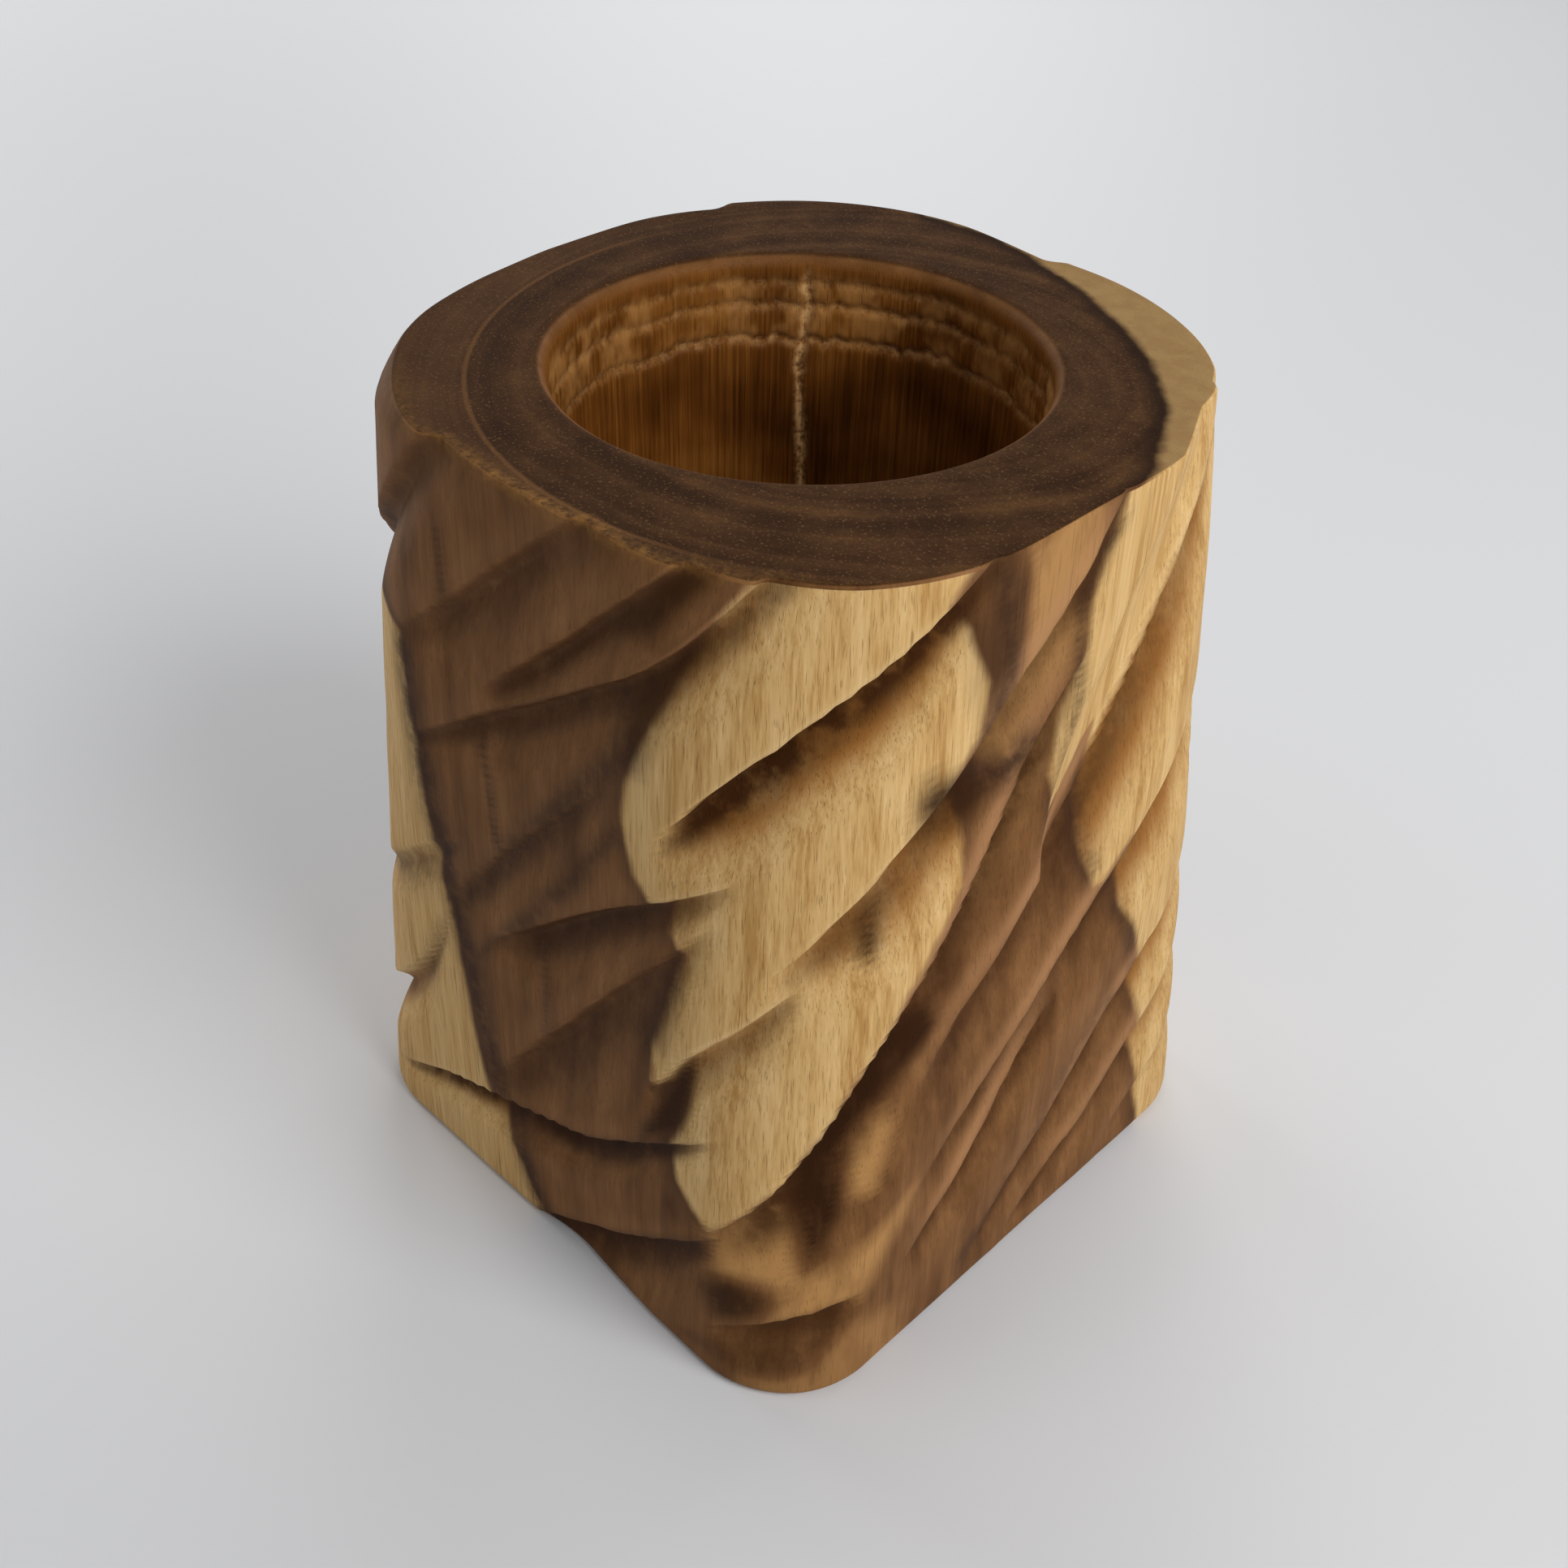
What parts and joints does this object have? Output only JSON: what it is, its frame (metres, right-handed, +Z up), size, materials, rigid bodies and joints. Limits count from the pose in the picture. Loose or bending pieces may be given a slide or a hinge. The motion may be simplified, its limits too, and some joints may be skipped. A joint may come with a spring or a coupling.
{
  "type": "carved wooden pen holder",
  "caption": "Hand-carved wooden pot with a deep round well open at the top, a rounded square foot and spiral gouge flutes on its sides; it stands upright and holds pens or small items.",
  "frame": {"origin": "middle of the square face it stands on", "axes": "+Z up along the well; the sides face +X, -X, +Y and -Y; the corner with the pale sapwood points between +X and -Y"},
  "size_m": [0.079, 0.079, 0.1],
  "materials": {
    "two_tone_wood": "satin"
  },
  "bodies": {
    "root": {"carved_pot": "two_tone_wood"}
  },
  "joints": []
}
